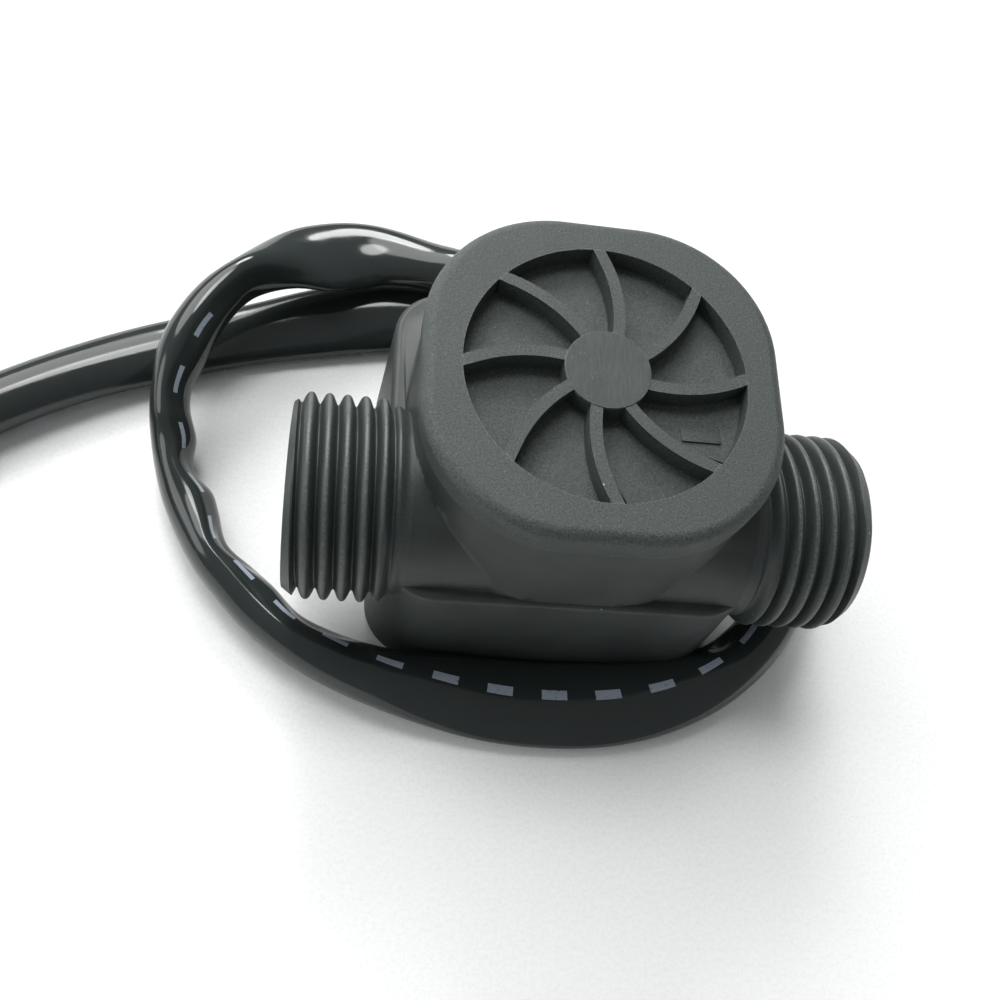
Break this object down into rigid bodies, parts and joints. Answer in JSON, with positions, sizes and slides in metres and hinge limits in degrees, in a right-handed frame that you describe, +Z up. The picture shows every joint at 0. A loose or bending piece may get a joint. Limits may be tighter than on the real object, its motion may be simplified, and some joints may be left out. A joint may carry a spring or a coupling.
{
  "type": "water flow sensor",
  "caption": "In-line water flow sensor with two threaded male pipe ports, a rounded square cap with a pinwheel relief, an inner bladed rotor and a sleeved lead.",
  "frame": {"origin": "on the rotor's axis at the underside of the base, which is the middle of the body's footprint", "axes": "+X along the pipe towards the right port, -Y towards the front, where the pipe lies in front of the rotor's axis, +Z up through the cap"},
  "size_m": [0.1403, 0.0785, 0.0341],
  "materials": {
    "housing_plastic": "satin, glass-filled",
    "cap_plastic": "fine spark texture",
    "rotor_plastic": "satin",
    "steel": "ground",
    "magnet_metal": "nickel plated",
    "brass": "tinned",
    "seal_rubber": "matte",
    "board_laminate": "solder mask",
    "chip_plastic": "matte",
    "ceramic": "matte",
    "potting": "cast",
    "sleeve_vinyl": "glossy, soft",
    "red_vinyl": "glossy, soft",
    "yellow_vinyl": "glossy, soft",
    "black_vinyl": "glossy, soft",
    "socket_plastic": "satin"
  },
  "bodies": {
    "housing": {"main_housing": "housing_plastic", "pinwheel_cap": "cap_plastic", "bottom_cover": "housing_plastic", "cap_seal": "seal_rubber", "cover_seal": "seal_rubber", "rotor_axle": "steel", "lower_washer": "steel", "upper_washer": "steel", "cover_screw_1": "steel", "cover_screw_2": "steel", "cover_screw_3": "steel", "cover_screw_4": "steel", "sensor_board": "board_laminate", "pickup_chip": "chip_plastic", "board_capacitor": "ceramic", "board_resistor": "chip_plastic", "potting_fill": "potting", "supply_lead": "red_vinyl", "signal_lead": "yellow_vinyl", "ground_lead": "black_vinyl", "cable_sleeve": "sleeve_vinyl", "supply_wire": "red_vinyl", "signal_wire": "yellow_vinyl", "ground_wire": "black_vinyl", "socket_housing": "socket_plastic", "supply_terminal": "brass", "signal_terminal": "brass", "ground_terminal": "brass"},
    "rotor_wheel": {"rotor": "rotor_plastic", "rotor_bush": "brass", "rotor_magnet_1": "magnet_metal", "rotor_magnet_2": "magnet_metal"}
  },
  "joints": [
    {"name": "rotor_spin", "type": "hinge", "parent": "housing", "child": "rotor_wheel", "pos_m": [0, 0, 0.0207], "axis": [0, 0, 1], "continuous": true}
  ]
}
